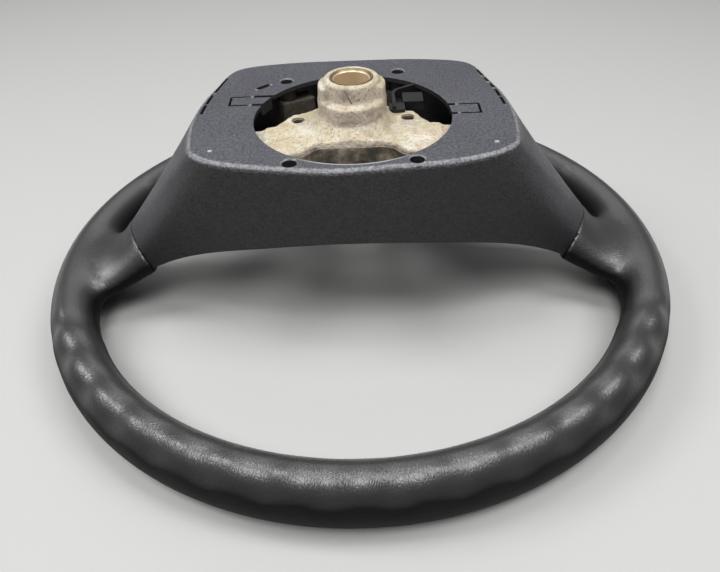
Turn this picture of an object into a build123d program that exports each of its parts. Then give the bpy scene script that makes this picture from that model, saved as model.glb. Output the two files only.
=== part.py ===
from build123d import *
import os
from math import cos, hypot, radians, sin

# Car steering wheel with its airbag module taken out, lying face down with the column side up.
# Millimetres. Z is the column axis, the rim rests on Z = 0 and the wheel's top points to -Y.

# Rim, its finger grips and the ring of the casting inside it
RIM_OUTER_DIAMETER = 380.0
GRIP_WIDTH = 27.0
GRIP_HEIGHT = 36.8
FINGER_COUNT = 40
FINGER_VALLEY_DEPTH = 1.3
FINGER_VALLEY_RADIUS = 24.0
FINGER_VALLEY_SLANT = 97.0
FINGER_CLEAR_OF_SPOKE = 22.0
CORE_WIDTH = 10.0
CORE_HEIGHT = 13.0

# Spokes: two level ones, and two below them at this angle
LOWER_SPOKE_ANGLE = 62.0
ARM_WIDTH = 24.0
ARM_HEIGHT = 12.0
ARM_WALL = 3.2
ARM_END_OFFSET = -4.0
ARM_AT_SEAM = 136.0
ARM_SEAM_TOP = 41.0
ARM_ROOT_TOP = 28.5
LEVEL_ARM_WIDTH = 32.0
LEVEL_ARM_OFFSET = -19.5
LEVEL_ARM_START = 30.0
LEVEL_ARM_BEND = 74.0
LEVEL_ARM_BEND_DROP = 3.0
LEVEL_ARM_MIDWAY = 108.0
LEVEL_ARM_MIDWAY_TOP = 80.0
LOWER_ARM_START = 12.0
LOWER_ARM_START_DROP = 1.0
LOWER_ARM_BEND = 34.0
LOWER_ARM_BEND_DROP = 5.0

# Rear cover
COVER_TOP = 117.65
COVER_FOOT = 30.0
COVER_WALL = 2.5
COVER_EDGE_RADIUS = 4.0
OPENING_RADIUS = 55.3
ARCH_FOOT = 30.0
ARCH_REACH = 220.0
NEAR_ARCH_START = 15.0
SIDE_ARCH_START = 90.0
FAR_ARCH_START = 85.0
NEAR_ARCH_PEAK = 76.0
NEAR_ARCH_HALF_WIDTH = 131.0
SIDE_ARCH_PEAK = 70.0
SIDE_ARCH_HALF_WIDTH = 46.0
FAR_ARCH_PEAK = 72.0
FAR_ARCH_HALF_WIDTH = 40.0

# Service caps in the cover's flanks
CAP_NEAR = 8.0
CAP_FAR = 58.0
CAP_DROP = 33.0
CAP_STRIP = 2.0
CAP_SLOT = 1.8
CAP_CLEARANCE = 0.3
CAP_RIB = 1.4
LEFT_RIBS = [20.0, 36.0]
RIGHT_RIBS = [18.0, 30.0, 39.0, 48.0]

# Hub of the casting
HUB_TOP = 140.1
NECK_RADIUS = 15.3
NECK_CHAMFER = 1.1
BODY_RADIUS = 19.0
EAR_RADIUS = 18.5
LEDGE_DROP = 11.0
EAR_DROP = 3.2
EAR_WIDTH = 17.0
FLARE = 5.5
PLATE_TOP = 114.0
PLATE_THICKNESS = 15.0
PLATE_WALL = 4.0
PLATE_CORNER = 3.0
PLATE_FRONT_CORNER = 8.0
PLATE_STEP = 1.2
PLATE_STEP_DROP = 2.5
COLUMN_RADIUS = 20.5
COLUMN_FOOT = 91.0
NUT_RECESS_RADIUS = 16.5
PULLER_SPACING = 62.0
PULLER_OFFSET = 3.5
PULLER_DIAMETER = 6.6
PULLER_DEPTH = 9.0
PULLER_BOSS_RADIUS = 7.0
DIMPLE_RADIUS = 2.2
DIMPLE_DEPTH = 0.8
DIMPLE_POINTS = [(-35.8, -14.0), (35.2, -13.0)]

# Sleeve in the hub
SLEEVE_RADIUS = 11.6
SLEEVE_LENGTH = 44.0
SLEEVE_FLANGE_RADIUS = 14.0
SLEEVE_FLANGE = 3.0
BORE_RADIUS = 9.5
BORE_LENGTH = 20.0
BORE_CHAMFER = 1.7
SPLINE_COUNT = 36
SPLINE_DEPTH = 0.9

# Screws that hold the cover on lugs of the casting, sunk in wells
SCREW_POINTS = [(-32.0, -52.0), (32.0, -52.0), (-40.6, 50.7), (28.6, 60.4)]
LUG_REACH = [(90.0, 24.0), (90.0, 24.0), (28.0, 16.0), (-28.0, 9.0)]
LUG_HEIGHTS = [12.0, 12.0, 26.0, 26.0]
SCREW_DIAMETER = 4.0
SCREW_LENGTH = 10.0
SCREW_HEAD_DIAMETER = 7.0
SCREW_HEAD_HEIGHT = 2.6
SCREW_RECESS_WIDTH = 1.0
SCREW_RECESS_DEPTH = 1.3
WELL_DIAMETER = 7.6
WELL_DEPTH = 9.0
WELL_WALL = 1.8
WELL_FLOOR = 2.0
WELL_CHAMFER = 0.7
SCREW_CLEARANCE = 0.2
LUG_WIDTH = 13.0
LUG_CLEARANCE = 0.5

# Snap tabs beside the round opening, pips and a slot on the plate
TAB_WIDTH = 11.5
TAB_SLIT = 1.4
TAB_BRIDGE = 1.6
TAB_BRIDGE_SETBACK = 4.0
TAB_LENGTH = 16.2
TAB_LIP = 1.6
TAB_LIP_DROP = 4.5
LEFT_TAB_MIDDLE = 23.3
RIGHT_TAB_MIDDLE = 3.8
PIP_RADIUS = 1.3
PIP_HEIGHT = 0.5
PIP_POINTS = [(-74.0, -37.7), (74.0, -37.7)]
PLATE_SLOT_POINT = (-54.0, 43.0)
PLATE_SLOT_LENGTH = 10.0
PLATE_SLOT_WIDTH = 3.6
PLATE_SLOT_TURN = 41.0

# Wiring guide
GUIDE_WALL = 2.0
GUIDE_TOP = 117.2
GUIDE_BEND = 9.0
GUIDE_LINE = [(24.0, 10.0), (24.0, 33.0), (41.5, 43.5)]
GUIDE_FOOT = (9.0, 9.0)
GUIDE_FOOT_MIDDLE = (25.5, 13.0)
GUIDE_SOCKET = (12.0, 13.0)
GUIDE_SOCKET_MIDDLE = (35.5, 27.0)

rim_radius = RIM_OUTER_DIAMETER / 2 - GRIP_WIDTH / 2
rim_height = GRIP_HEIGHT / 2
well_floor = COVER_TOP - WELL_DEPTH
well_bottom = well_floor - WELL_FLOOR
well_radius = WELL_DIAMETER / 2 + WELL_WALL
tab_bridge = OPENING_RADIUS + TAB_BRIDGE_SETBACK
tab_end = OPENING_RADIUS + TAB_LENGTH
sleeve_bottom = HUB_TOP - SLEEVE_LENGTH
plate_bottom = PLATE_TOP - PLATE_THICKNESS
guide_bottom = PLATE_TOP - PLATE_WALL

# Half outlines of the cover at its plate and at its foot, in step with each other, from the middle of
# the near edge to the middle of the far edge. The side point is the plate's widest.
SIDE_POINT = 5
plate_half = [(0, -61), (38, -57.7), (74, -47.8), (82.8, -41), (86.6, -31), (89.5, 0), (87.3, 27),
              (86.2, 34), (84.8, 41), (83.3, 48.6), (81.5, 56), (78.2, 66), (69, 74.8), (55, 78.7),
              (40, 80.8), (33, 81.4), (26, 81.9), (13, 82.5), (0, 82.7)]
foot_half = [(0, -69.5), (65, -58.5), (126, -26.5), (145, -16), (154, -0.5), (156.2, 8), (155.8, 17),
             (152.6, 23.6), (145, 26.3), (100, 59), (82.5, 98.8), (82.1, 120.5), (72.7, 135.7),
             (66.2, 141.7), (58.1, 145.5), (50.7, 145.8), (44.8, 140.4), (25, 117), (0, 111.3)]

# Half outline of the casting's hub plate, from the middle of its near edge to the middle of its far edge
hub_half = [(0, -25.5), (20, -25.5), (27, -35.5), (50, -36), (50, -3), (44, -2.5), (39.5, 4), (35.5, 11.5),
            (27, 15), (19, 21), (12, 28), (0, 28)]

# The cover ends on each spoke in this slanting plane, where the rim's moulding takes over.
SEAM_CREST = (141.0, 0.0, 48.0)
SEAM_NORMAL = (0.859, -0.360, -0.365)
SEAM = Plane(origin=SEAM_CREST, x_dir=(-SEAM_NORMAL[1], SEAM_NORMAL[0], 0), z_dir=SEAM_NORMAL)

# Smooth sections of the spoke root: up the near edge, over the crest, down the far edge, underside.
# The first lies in the seam's own plane and the others in upright planes across the spoke.
ROOT_AT_SEAM = [(-28.5, -19), (-31.5, -12), (-23.5, -0.5), (-8, 2.4), (8, -0.8), (21, -8.3),
                (25.5, -18), (-2, -24)]
ROOT_MIDWAY = [(-36, 13), (-38, 19), (-30, 28), (-8, 34.5), (6, 32.5), (15, 28), (22, 16), (-6, 9.5)]
ROOT_IN_RIM = [(-49, 9), (-50, 13), (-40, 19), (-8, 23), (10, 22), (24, 18), (32, 10), (-8, 5.5)]
ROOT_MIDWAY_AT = 152.0


def at_each_spoke(shape):
    """The right-hand spoke's shape at all four spokes."""
    right = [shape, Rot(0, 0, LOWER_SPOKE_ANGLE) * shape]
    return right + [mirror(one, about=Plane.YZ) for one in right]


def both_sides(points):
    """A right-half outline joined to its mirror image, in order round the axis."""
    return points + [(-x, y) for x, y in reversed(points[1:-1])]


def moved_in(points, distance):
    """A closed outline with each point moved inwards, square to the way it runs there."""
    count = len(points)
    moved = []
    for i, (x, y) in enumerate(points):
        ax, ay = points[i - 1]
        bx, by = points[(i + 1) % count]
        before = hypot(x - ax, y - ay)
        after = hypot(bx - x, by - y)
        tx = (x - ax) / before + (bx - x) / after
        ty = (y - ay) / before + (by - y) / after
        size = hypot(tx, ty)
        moved.append((x - ty / size * distance, y + tx / size * distance))
    return moved


def outline_steps():
    """How far along each outline point lies, from 0 to 1, the same for the plate and the foot."""
    plate = both_sides(plate_half)
    foot = both_sides(foot_half)
    steps = [0.0]
    for i in range(len(plate)):
        after = (i + 1) % len(plate)
        on_plate = hypot(plate[after][0] - plate[i][0], plate[after][1] - plate[i][1])
        on_foot = hypot(foot[after][0] - foot[i][0], foot[after][1] - foot[i][1])
        steps.append(steps[-1] + (on_plate * on_foot) ** 0.5)
    return [step / steps[-1] for step in steps]


def outline_face(points, height):
    """A face at one height in a smooth closed curve, parted at its near, far, left and right points."""
    steps = outline_steps()
    curve = Edge.make_spline([Vector(x, y) for x, y in points], periodic=True, parameters=steps)
    far = len(plate_half) - 1
    parts = [steps[i] for i in (0, SIDE_POINT, far, 2 * far - SIDE_POINT, 2 * far)]
    quarters = [curve.trim(parts[i], parts[i + 1]) for i in range(len(parts) - 1)]
    return Pos(0, 0, height) * make_face(quarters)


def between(low, high, x, y, shape):
    """A flat shape made solid between two heights, with its own origin at x, y."""
    return Pos(x, y, low) * extrude(shape, high - low)


def cover_form(inset):
    """The cover's form as a solid: straight lines run from the plate's outline to the foot's."""
    top = outline_face(moved_in(both_sides(plate_half), inset), COVER_TOP - inset)
    foot = outline_face(moved_in(both_sides(foot_half), inset), COVER_FOOT)
    return loft([foot, top], ruled=True)


def arch(half_width, peak, start, turn):
    """A lying cylinder that cuts an arched lower edge into the cover."""
    rise = peak - ARCH_FOOT
    radius = (half_width ** 2 + rise ** 2) / (2 * rise)
    middle = Pos((start + ARCH_REACH) / 2, 0, peak - radius)
    return Rot(0, 0, turn) * middle * Rot(0, 90, 0) * Cylinder(radius, ARCH_REACH - start)


def cover_shell():
    """The bowl with a wall all round, open towards the driver, cut off at the four spokes."""
    form = cover_form(0)
    form = fillet(form.faces().sort_by(Axis.Z)[-1].edges(), COVER_EDGE_RADIUS)
    shell = form - cover_form(COVER_WALL)
    shell -= arch(NEAR_ARCH_HALF_WIDTH, NEAR_ARCH_PEAK, NEAR_ARCH_START, -90)
    shell -= arch(FAR_ARCH_HALF_WIDTH, FAR_ARCH_PEAK, FAR_ARCH_START, 90)
    for turn in (LOWER_SPOKE_ANGLE / 2, 180 - LOWER_SPOKE_ANGLE / 2):
        shell -= arch(SIDE_ARCH_HALF_WIDTH, SIDE_ARCH_PEAK, SIDE_ARCH_START, turn)
    return shell - at_each_spoke(extrude(SEAM * Circle(COVER_TOP), COVER_TOP))


def cap_block(slot, clearance):
    """The block of a right-hand service cap, with its inner edge parallel to the plate's."""
    inner = Spline(*[(x - CAP_STRIP - slot, y) for x, y in plate_half[5:13]])
    outside = plate_half[5][0] * 2
    start = inner @ 0
    end = inner @ 1
    rest = Polyline((end.X, end.Y), (outside, end.Y), (outside, start.Y), (start.X, start.Y))
    slab = extrude(make_face([inner, rest]), COVER_TOP + 1)
    low = COVER_TOP - CAP_DROP - clearance
    length = CAP_FAR - CAP_NEAR + 2 * clearance
    window = Pos(outside / 2, (CAP_NEAR + CAP_FAR) / 2, low + CAP_DROP) * Box(outside, length, 2 * CAP_DROP)
    return slab & window


def service_cap(shell, ribs, side):
    """A cap cut from the bowl's flank, with ribs that reach across its slot to the plate."""
    block = cap_block(0, 0)
    crossing = cap_block(CAP_SLOT, 0)
    strips = [Pos(0, y, COVER_TOP) * Box(4 * plate_half[5][0], CAP_RIB, 4 * COVER_WALL) for y in ribs]
    edge_only = cap_block(CAP_SLOT, 0) - cap_block(-CAP_STRIP, 0)
    block = block + [crossing & edge_only & strip for strip in strips]
    if side < 0:
        block = mirror(block, about=Plane.YZ)
    return shell & block


def tab_slits(middle, side):
    """Slits that free a tongue at the opening, held by a narrow bridge on each long side."""
    half = TAB_WIDTH / 2
    slits = [Pos(tab_end, middle) * Rectangle(TAB_SLIT, TAB_WIDTH + TAB_SLIT)]
    outer = tab_end - tab_bridge - TAB_BRIDGE / 2
    inner = tab_bridge - TAB_BRIDGE / 2 - OPENING_RADIUS / 2
    for edge in (middle - half, middle + half):
        slits.append(Pos(tab_end - outer / 2, edge) * Rectangle(outer, TAB_SLIT))
        slits.append(Pos(OPENING_RADIUS / 2 + inner / 2, edge) * Rectangle(inner, 2 * TAB_SLIT))
    cut = extrude(Sketch() + slits, COVER_TOP + 1)
    return cut if side > 0 else mirror(cut, about=Plane.YZ)


def rear_cover(shell):
    """The bowl with its opening, screw wells, tabs, slots and pips."""
    cover = shell
    for x, y in SCREW_POINTS:
        cover += between(well_bottom, COVER_TOP - COVER_WALL / 2, x, y, Circle(well_radius))
    cover -= extrude(Circle(OPENING_RADIUS), COVER_TOP + 1)
    for x, y in SCREW_POINTS:
        cover -= between(well_floor, COVER_TOP + 1, x, y, Circle(WELL_DIAMETER / 2))
        mouth = Cone(WELL_DIAMETER / 2, WELL_DIAMETER / 2 + WELL_CHAMFER, WELL_CHAMFER)
        cover -= Pos(x, y, COVER_TOP - WELL_CHAMFER / 2) * mouth
        cover -= between(well_bottom - 1, COVER_TOP, x, y, Circle(SCREW_DIAMETER / 2 + SCREW_CLEARANCE))
    cap_hole = cap_block(CAP_SLOT, CAP_CLEARANCE)
    cover -= [cap_hole, mirror(cap_hole, about=Plane.YZ)]
    cover -= [tab_slits(RIGHT_TAB_MIDDLE, 1), tab_slits(LEFT_TAB_MIDDLE, -1)]
    bent_end = Pos(-OPENING_RADIUS, LEFT_TAB_MIDDLE) * Rectangle(OPENING_RADIUS, TAB_WIDTH - 2 * TAB_SLIT)
    bent_end = bent_end & (Circle(OPENING_RADIUS + TAB_LIP) - Circle(OPENING_RADIUS))
    cover += between(COVER_TOP - COVER_WALL - TAB_LIP_DROP, COVER_TOP - COVER_WALL / 2, 0, 0, bent_end)
    slot = Rot(0, 0, PLATE_SLOT_TURN) * SlotOverall(PLATE_SLOT_LENGTH, PLATE_SLOT_WIDTH)
    cover -= between(COVER_TOP - 2 * COVER_WALL, COVER_TOP + 1, *PLATE_SLOT_POINT, slot)
    for x, y in PIP_POINTS:
        cover += Pos(x, y, COVER_TOP) * Cylinder(PIP_RADIUS, 2 * PIP_HEIGHT)
    return cover


def arm(sections):
    """A spoke arm through upright oblong sections, hollowed to a channel from the driver's side."""
    solid = []
    channel = []
    for x, y, top, width, height in sections:
        solid.append(Plane.YZ.offset(x) * Pos(y, top - height / 2) * Rectangle(width, height))
        inside = Rectangle(width - 2 * ARM_WALL, height)
        channel.append(Plane.YZ.offset(x) * Pos(y, top - ARM_WALL - height / 2) * inside)
    return loft(solid, ruled=True) - loft(channel[:-1], ruled=True)


def level_arm():
    """The right-hand level arm: out under the plate, then down inside the flank to the ring."""
    midway_offset = (LEVEL_ARM_OFFSET + ARM_END_OFFSET) / 2
    bend_width = (LEVEL_ARM_WIDTH + ARM_WIDTH) / 2
    return arm([(LEVEL_ARM_START, LEVEL_ARM_OFFSET, PLATE_TOP, LEVEL_ARM_WIDTH, PLATE_THICKNESS),
                (LEVEL_ARM_BEND, LEVEL_ARM_OFFSET, PLATE_TOP - LEVEL_ARM_BEND_DROP, bend_width, ARM_HEIGHT),
                (LEVEL_ARM_MIDWAY, midway_offset, LEVEL_ARM_MIDWAY_TOP, ARM_WIDTH, ARM_HEIGHT),
                (ARM_AT_SEAM, ARM_END_OFFSET, ARM_SEAM_TOP, ARM_WIDTH, ARM_HEIGHT),
                (ROOT_MIDWAY_AT, ARM_END_OFFSET, ARM_ROOT_TOP, ARM_WIDTH, ARM_HEIGHT),
                (rim_radius, ARM_END_OFFSET, rim_height + CORE_HEIGHT / 2, ARM_WIDTH, CORE_HEIGHT)])


def lower_arm():
    """The right-hand lower arm, straight down from the hub to the ring."""
    along = arm([(LOWER_ARM_START, 0, PLATE_TOP - LOWER_ARM_START_DROP, ARM_WIDTH, PLATE_THICKNESS),
                 (LOWER_ARM_BEND, 0, PLATE_TOP - LOWER_ARM_BEND_DROP, ARM_WIDTH, ARM_HEIGHT),
                 (ARM_AT_SEAM, ARM_END_OFFSET, ARM_SEAM_TOP, ARM_WIDTH, ARM_HEIGHT),
                 (ROOT_MIDWAY_AT, ARM_END_OFFSET, ARM_ROOT_TOP, ARM_WIDTH, ARM_HEIGHT),
                 (rim_radius, ARM_END_OFFSET, rim_height + CORE_HEIGHT / 2, ARM_WIDTH, CORE_HEIGHT)])
    return Rot(0, 0, LOWER_SPOKE_ANGLE) * along


def nearest(corner, points):
    """How far a corner of an outline lies from the nearest of some points."""
    return min(hypot(corner.X - x, corner.Y - y) for x, y in points)


def hub_plate():
    """The casting's ribbed plate: a skin with a wall round its edge, open towards the driver."""
    outline = make_face(Polyline(*both_sides(hub_half), close=True))
    front = [(side * x, y) for x, y in hub_half[1:3] for side in (1, -1)]
    outline = fillet([v for v in outline.vertices() if nearest(v, front) > PLATE_STEP], PLATE_CORNER)
    outline = fillet([v for v in outline.vertices() if nearest(v, front) < PLATE_STEP], PLATE_FRONT_CORNER)
    plate = between(plate_bottom, PLATE_TOP - PLATE_STEP_DROP, 0, 0, outline)
    plate += between(plate_bottom, PLATE_TOP, 0, 0, offset(outline, -PLATE_STEP))
    hollow = offset(outline, -PLATE_WALL)
    return plate - between(plate_bottom - 1, PLATE_TOP - PLATE_WALL, 0, 0, hollow)


def hub_tower():
    """The turned and cast tower round the sleeve, with a ledge, two ears and a flared foot."""
    ledge = HUB_TOP - LEDGE_DROP
    profile = Polyline((0, COLUMN_FOOT), (COLUMN_RADIUS, COLUMN_FOOT), (COLUMN_RADIUS, PLATE_TOP - 1),
                       (BODY_RADIUS + FLARE, PLATE_TOP - 1), (BODY_RADIUS + FLARE, PLATE_TOP),
                       (BODY_RADIUS, PLATE_TOP + FLARE), (BODY_RADIUS, ledge), (NECK_RADIUS + 1, ledge),
                       (NECK_RADIUS, ledge + 1), (NECK_RADIUS, HUB_TOP - NECK_CHAMFER),
                       (NECK_RADIUS - NECK_CHAMFER, HUB_TOP), (0, HUB_TOP), close=True)
    tower = revolve(make_face(Plane.XZ * profile), Axis.Z)
    ear_plan = Rectangle(2 * BODY_RADIUS, EAR_WIDTH) & Circle(EAR_RADIUS)
    return tower + between(ledge - 1, HUB_TOP - EAR_DROP, 0, 0, ear_plan)


def armature():
    """The die casting: ring, four channelled arms, hub plate, tower and screw lugs."""
    ring = revolve(Plane.XZ * Pos(rim_radius, rim_height) * Rectangle(CORE_WIDTH, CORE_HEIGHT), Axis.Z)
    arms = [level_arm(), lower_arm()]
    casting = ring + arms + [mirror(one, about=Plane.YZ) for one in arms]
    casting = casting + [hub_plate(), hub_tower()]
    pullers = [(-PULLER_SPACING / 2, PULLER_OFFSET), (PULLER_SPACING / 2, PULLER_OFFSET)]
    for x, y in pullers:
        casting += between(plate_bottom, PLATE_TOP, x, y, Circle(PULLER_BOSS_RADIUS))
    room = cover_form(COVER_WALL + LUG_CLEARANCE)
    for (x, y), (turn, reach), height in zip(SCREW_POINTS, LUG_REACH, LUG_HEIGHTS):
        length = reach + LUG_WIDTH / 2
        lug = Rot(0, 0, turn) * Pos(reach - length / 2, 0) * Rectangle(length, LUG_WIDTH)
        casting += between(well_bottom - height, well_bottom, x, y, lug) & room
    for x, y in SCREW_POINTS:
        casting -= between(well_bottom, PLATE_TOP + 1, x, y, Circle(well_radius + SCREW_CLEARANCE))
        casting -= between(well_bottom - SCREW_LENGTH, well_bottom, x, y, Circle(SCREW_DIAMETER / 2))
    for x, y in pullers:
        casting -= between(PLATE_TOP - PULLER_DEPTH, PLATE_TOP + 1, x, y, Circle(PULLER_DIAMETER / 2))
    for x, y in DIMPLE_POINTS:
        casting -= Pos(x, y, PLATE_TOP) * Cylinder(DIMPLE_RADIUS, 2 * DIMPLE_DEPTH)
    casting -= extrude(Circle(SLEEVE_RADIUS), HUB_TOP + 1)
    casting -= between(0, sleeve_bottom + SLEEVE_FLANGE, 0, 0, Circle(SLEEVE_FLANGE_RADIUS))
    return casting - between(0, sleeve_bottom, 0, 0, Circle(NUT_RECESS_RADIUS))


def splined_boss():
    """The sleeve for the column shaft: a plain mouth, then a serrated bore, and a flange at its foot."""
    minor = BORE_RADIUS - SPLINE_DEPTH
    shoulder = HUB_TOP - BORE_CHAMFER - BORE_LENGTH
    profile = Polyline((minor, sleeve_bottom), (SLEEVE_FLANGE_RADIUS, sleeve_bottom),
                       (SLEEVE_FLANGE_RADIUS, sleeve_bottom + SLEEVE_FLANGE),
                       (SLEEVE_RADIUS, sleeve_bottom + SLEEVE_FLANGE), (SLEEVE_RADIUS, HUB_TOP),
                       (BORE_RADIUS + BORE_CHAMFER, HUB_TOP), (BORE_RADIUS, HUB_TOP - BORE_CHAMFER),
                       (BORE_RADIUS, shoulder), (minor, shoulder), close=True)
    sleeve = revolve(make_face(Plane.XZ * profile), Axis.Z)
    star = []
    for i in range(2 * SPLINE_COUNT):
        radius = BORE_RADIUS if i % 2 else minor
        angle = radians(180 * i / SPLINE_COUNT)
        star.append((radius * cos(angle), radius * sin(angle)))
    teeth = make_face(Polyline(*star, close=True))
    return sleeve - between(sleeve_bottom - 1, shoulder, 0, 0, teeth)


def spoke_root():
    """The moulding round the right-hand spoke's outer end, spreading into the rim."""
    places = [(SEAM, ROOT_AT_SEAM), (Plane.YZ.offset(ROOT_MIDWAY_AT), ROOT_MIDWAY),
              (Plane.YZ.offset(rim_radius), ROOT_IN_RIM)]
    return loft([plane * make_face(Spline(*points, periodic=True)) for plane, points in places])


def finger_valleys():
    """Cutters for the shallow valleys between the finger grips, along the top of the rim."""
    slant = radians(FINGER_VALLEY_SLANT)
    across = GRIP_WIDTH / 2 * cos(slant)
    up = GRIP_HEIGHT / 2 * sin(slant)
    lean = (cos(slant) / GRIP_WIDTH, sin(slant) / GRIP_HEIGHT)
    size = hypot(*lean)
    out = FINGER_VALLEY_RADIUS - FINGER_VALLEY_DEPTH
    middle = (rim_radius + across + lean[0] / size * out, 0, rim_height + up + lean[1] / size * out)
    axis = Plane(origin=middle, x_dir=(0, 1, 0), z_dir=(lean[1], 0, -lean[0]))
    valley = axis * Cylinder(FINGER_VALLEY_RADIUS, GRIP_HEIGHT)
    spokes = [0, LOWER_SPOKE_ANGLE, 180 - LOWER_SPOKE_ANGLE, 180, 360]
    turns = [(i + 0.5) * 360 / FINGER_COUNT for i in range(FINGER_COUNT)]
    free = [turn for turn in turns if min(abs(turn - spoke) for spoke in spokes) > FINGER_CLEAR_OF_SPOKE]
    return [Rot(0, 0, turn) * valley for turn in free]


def rim_grip(casting):
    """The soft moulding over the casting's ring and the outer ends of its arms."""
    halves = [EllipticalCenterArc((0, 0), GRIP_WIDTH / 2, GRIP_HEIGHT / 2, start, arc_size=180) for start in (0, 180)]
    section = Plane.XZ * Pos(rim_radius, rim_height) * make_face(halves)
    rim = Rot(0, 0, 90) * revolve(section, Axis.Z) - finger_valleys()
    return rim + at_each_spoke(spoke_root()) - casting


def cover_screw(x, y):
    """One screw, head up on the floor of its well."""
    head = Pos(0, 0, SCREW_HEAD_HEIGHT / 2) * Cylinder(SCREW_HEAD_DIAMETER / 2, SCREW_HEAD_HEIGHT)
    shank = Pos(0, 0, -SCREW_LENGTH / 2) * Cylinder(SCREW_DIAMETER / 2, SCREW_LENGTH)
    bar = Box(SCREW_HEAD_DIAMETER * 0.6, SCREW_RECESS_WIDTH, 2 * SCREW_RECESS_DEPTH)
    recess = Pos(0, 0, SCREW_HEAD_HEIGHT) * (bar + Rot(0, 0, 90) * bar)
    return Pos(x, y, well_floor) * (head + shank - recess)


def wiring_guide(casting, cover):
    """The channel that leads wiring from the hub to the edge of the opening, with a plug holder."""
    line = FilletPolyline(*GUIDE_LINE, radius=GUIDE_BEND)
    wall = between(guide_bottom, GUIDE_TOP, 0, 0, trace(line, GUIDE_WALL))
    foot = between(PLATE_TOP, PLATE_TOP + GUIDE_WALL, *GUIDE_FOOT_MIDDLE, Rectangle(*GUIDE_FOOT))
    x, y = GUIDE_SOCKET_MIDDLE
    length, width = GUIDE_SOCKET
    floor_plan = Pos((x + GUIDE_LINE[0][0]) / 2, y) * Rectangle(x + length / 2 - GUIDE_LINE[0][0], width)
    floor = between(guide_bottom, guide_bottom + GUIDE_WALL, length / 4, 0, floor_plan)
    holder = between(guide_bottom, GUIDE_TOP - GUIDE_WALL, x, y, Rectangle(length, width))
    inside = Rectangle(length, width - 2 * GUIDE_WALL)
    holder -= between(guide_bottom + GUIDE_WALL, GUIDE_TOP - 2 * GUIDE_WALL, x + GUIDE_WALL, y, inside)
    return wall + foot + floor + holder - casting - cover


os.makedirs("parts", exist_ok=True)
shell = cover_shell()
casting = armature()
cover = rear_cover(shell)
nodes = {
    "armature": casting,
    "splined_boss": splined_boss(),
    "rim_grip": rim_grip(casting),
    "rear_cover": cover,
    "left_service_cap": service_cap(shell, LEFT_RIBS, -1),
    "right_service_cap": service_cap(shell, RIGHT_RIBS, 1),
    "cover_screws": Compound([cover_screw(x, y).solid() for x, y in SCREW_POINTS]),
    "wiring_guide": wiring_guide(casting, cover),
}
for name, shape in nodes.items():
    export_step(shape, f"parts/{name}.step")
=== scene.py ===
from math import atan2, cos, exp, hypot, pi, radians, sin

import bmesh
import bpy
from mathutils import Matrix, Vector
from mathutils import noise as swell


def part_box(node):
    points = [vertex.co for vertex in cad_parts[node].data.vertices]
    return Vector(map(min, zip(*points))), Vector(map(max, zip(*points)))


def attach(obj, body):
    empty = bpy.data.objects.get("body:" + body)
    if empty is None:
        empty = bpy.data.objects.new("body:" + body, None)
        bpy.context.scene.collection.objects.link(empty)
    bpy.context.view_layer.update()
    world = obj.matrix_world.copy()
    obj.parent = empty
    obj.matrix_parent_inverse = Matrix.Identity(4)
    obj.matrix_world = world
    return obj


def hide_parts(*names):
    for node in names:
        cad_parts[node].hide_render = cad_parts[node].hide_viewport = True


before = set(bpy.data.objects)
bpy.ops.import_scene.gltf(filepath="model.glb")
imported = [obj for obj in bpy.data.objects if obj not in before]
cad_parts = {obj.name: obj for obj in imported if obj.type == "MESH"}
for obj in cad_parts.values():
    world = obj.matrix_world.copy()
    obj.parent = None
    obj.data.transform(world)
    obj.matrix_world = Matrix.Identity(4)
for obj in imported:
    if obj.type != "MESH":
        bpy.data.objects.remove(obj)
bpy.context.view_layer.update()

bl_info = {
    "name": "Bare Steering Wheel",
    "version": (1, 0, 0),
    "blender": (4, 5, 0),
    "location": "View3D > Sidebar > Wheel",
    "description": "Dresses a bare steering wheel: rim skin, rear cover, hub casting and stage",
    "category": "Object",
}

BODY = "root"
MM = 0.001

# Corners closer than this are one corner
MERGE = 0.004 * MM

# Sizes of the solids; the cover's highest points are its two pips
RIM_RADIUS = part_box("rim_grip")[1].x
HUB_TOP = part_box("armature")[1].z
COVER_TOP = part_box("rear_cover")[1].z

# Turns a shape into its left-hand twin
MIRROR = Matrix.Diagonal((-1.0, 1.0, 1.0, 1.0))

# The column's axis, for masks round it
AXIS = (Vector(),)

# Copies of the solids: faces that meet flatter than the first angle are joined, edges sharper than the
# second are rounded in so many segments, and flat faces weigh most in the shading
FLAT_ANGLE = radians(0.4)
EDGE_ANGLE = radians(35.0)
EDGE_SEGMENTS = 2
FLAT_WEIGHT = 80

# Edges sharper than these are shaded sharp on the rim's skin and on the casting
SKIN_SHARP = radians(50.0)
CASTING_SHARP = radians(40.0)

# The four spokes' directions, in degrees round the hub from the right-hand one
SPOKES = (0.0, 62.0, 118.0, 180.0)

# The plane in which the right-hand spoke's cover ends and the rim's moulding begins, and the gap there
SEAM_POINT = Vector((141.0, 0.0, 48.0)) * MM
SEAM_NORMAL = Vector((0.859, -0.360, -0.365)).normalized()
SEAM_GAP = 0.4 * MM

# A root's rounded lip, in millimetres: levels over its end, which is the last, and how far each is drawn in
SEAM_LIP = ((1.8, 0.0), (0.6, 0.25), (0.0, 0.9))

# A spoke root's sections, in millimetres across the spoke and up: one in the seam plane, from its point,
# and two in upright planes, from the floor
SEAM_SECTION = ((-31, -19.5), (-35, -12), (-25.5, 1.2), (-8, 4.4),
                (9.5, 0.6), (24, -8), (28.5, -19), (-2, -26))
MIDWAY_SECTION = ((-34, 17), (-37.5, 23), (-31, 31), (-8, 37),
                  (7.5, 34.8), (17.5, 29.5), (25.5, 16), (-6, 9))
RIM_SECTION = ((-49, 14), (-51, 20), (-41, 31), (-8, 38),
               (11.5, 36), (27, 27), (36, 11), (-8, 4))

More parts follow.
